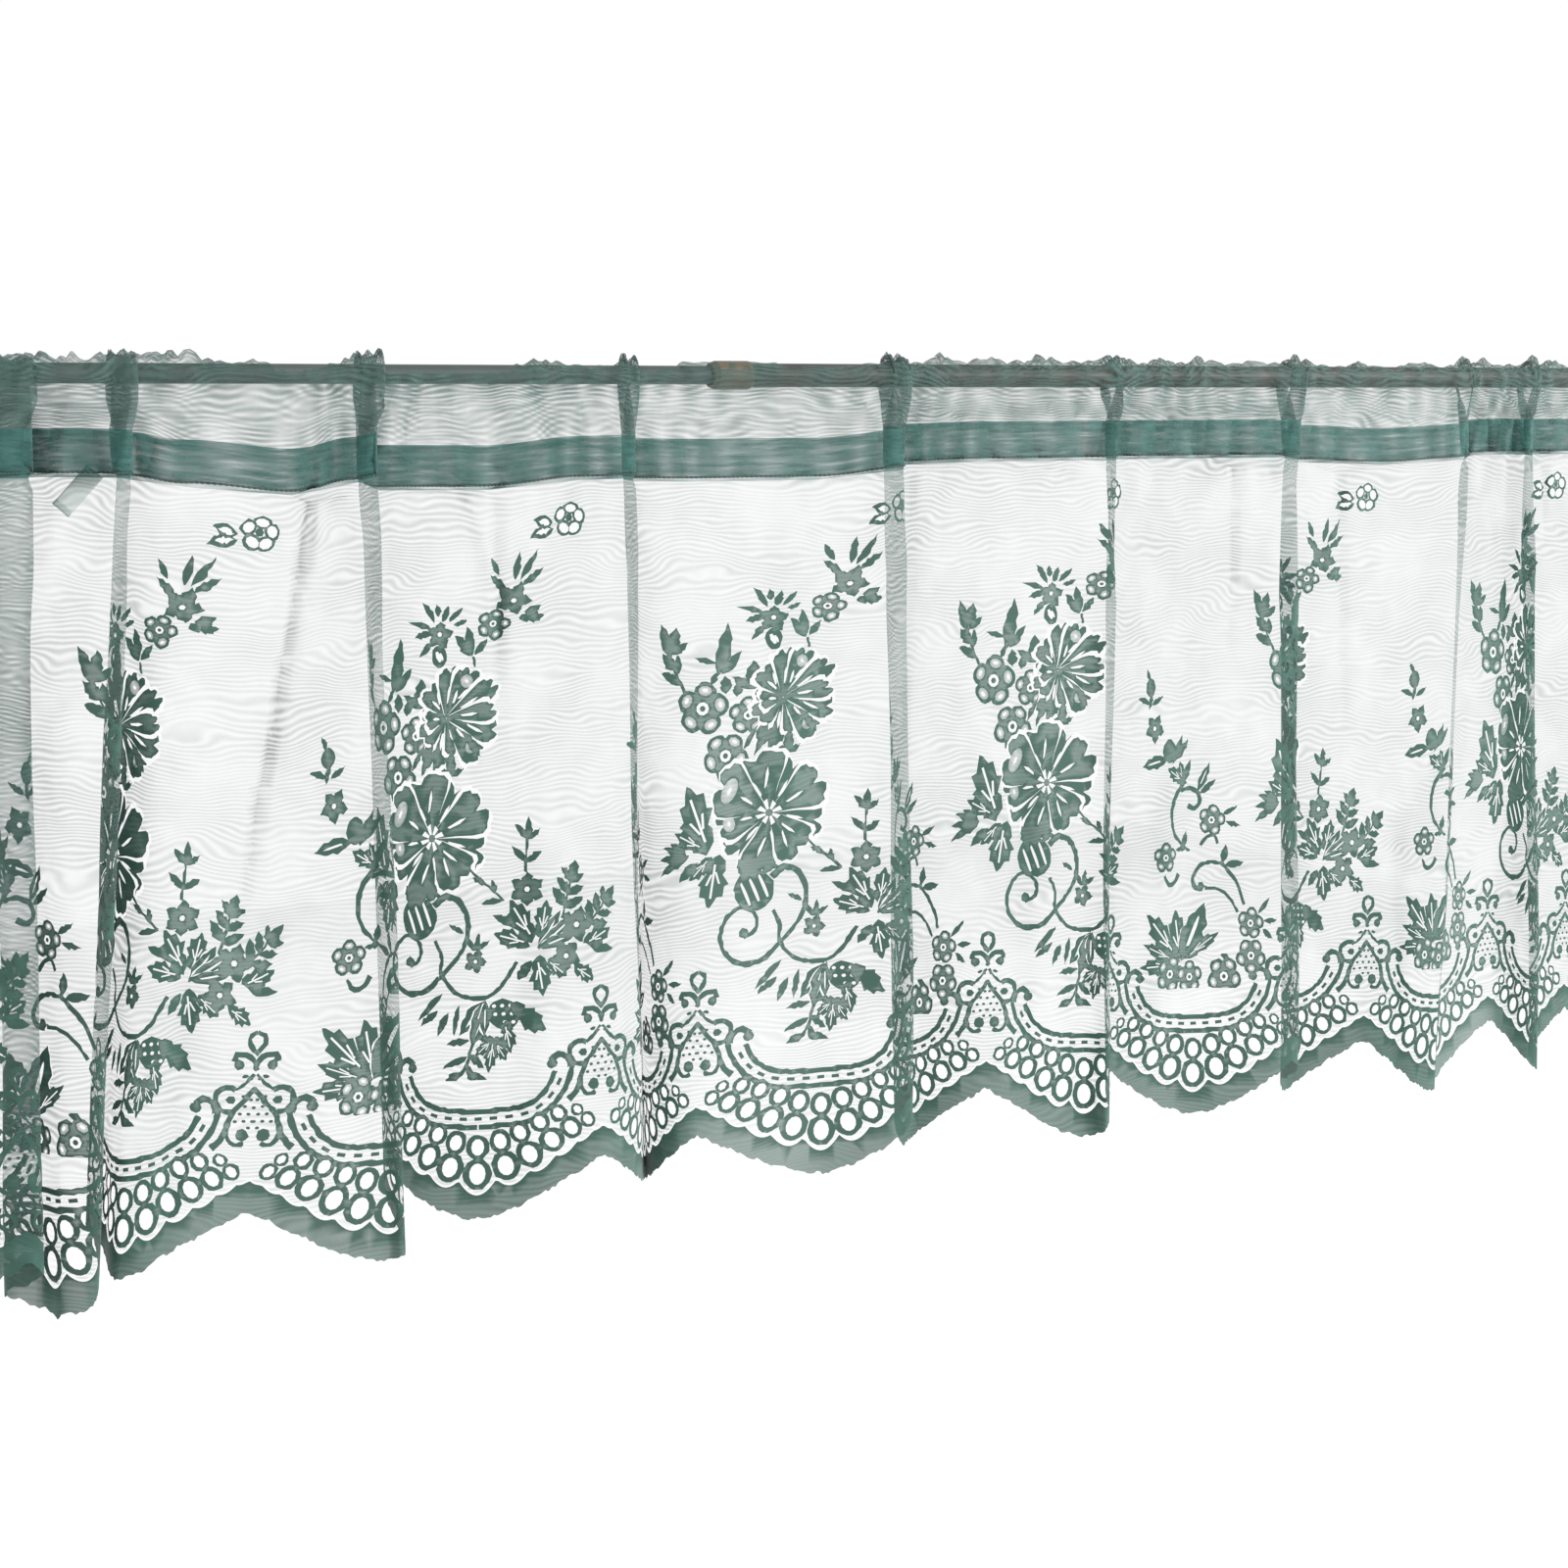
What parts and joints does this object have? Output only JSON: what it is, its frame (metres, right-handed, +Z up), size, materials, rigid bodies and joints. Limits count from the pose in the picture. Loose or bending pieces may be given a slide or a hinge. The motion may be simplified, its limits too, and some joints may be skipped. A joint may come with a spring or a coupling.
{
  "type": "lace cafe curtain on a tension rod",
  "caption": "Sheer floral lace cafe curtain with a scalloped hem, gathered by its rod pocket on a slim telescopic tension rod.",
  "frame": {"origin": "centre of the left end cap's flat outer face, on the rod's axis", "axes": "+X along the rod from the left cap to the right one, +Z up, the room side of the curtain faces -Y"},
  "size_m": [1.146, 0.0581, 0.4628],
  "materials": {
    "lace": "matte sage green lace on a fine sheer net ground",
    "inner_tube": "satin grey enamel",
    "outer_tube": "satin dark bronze enamel",
    "collar": "olive brown moulded plastic",
    "end_cap": "matte soft rubber",
    "label": "plain pale woven tape"
  },
  "bodies": {
    "root": {"curtain_panel": "lace", "rod_inner_tube": "inner_tube", "rod_outer_tube": "outer_tube", "rod_collar": "collar", "end_cap_left": "end_cap", "end_cap_right": "end_cap", "care_label": "label"}
  },
  "joints": []
}
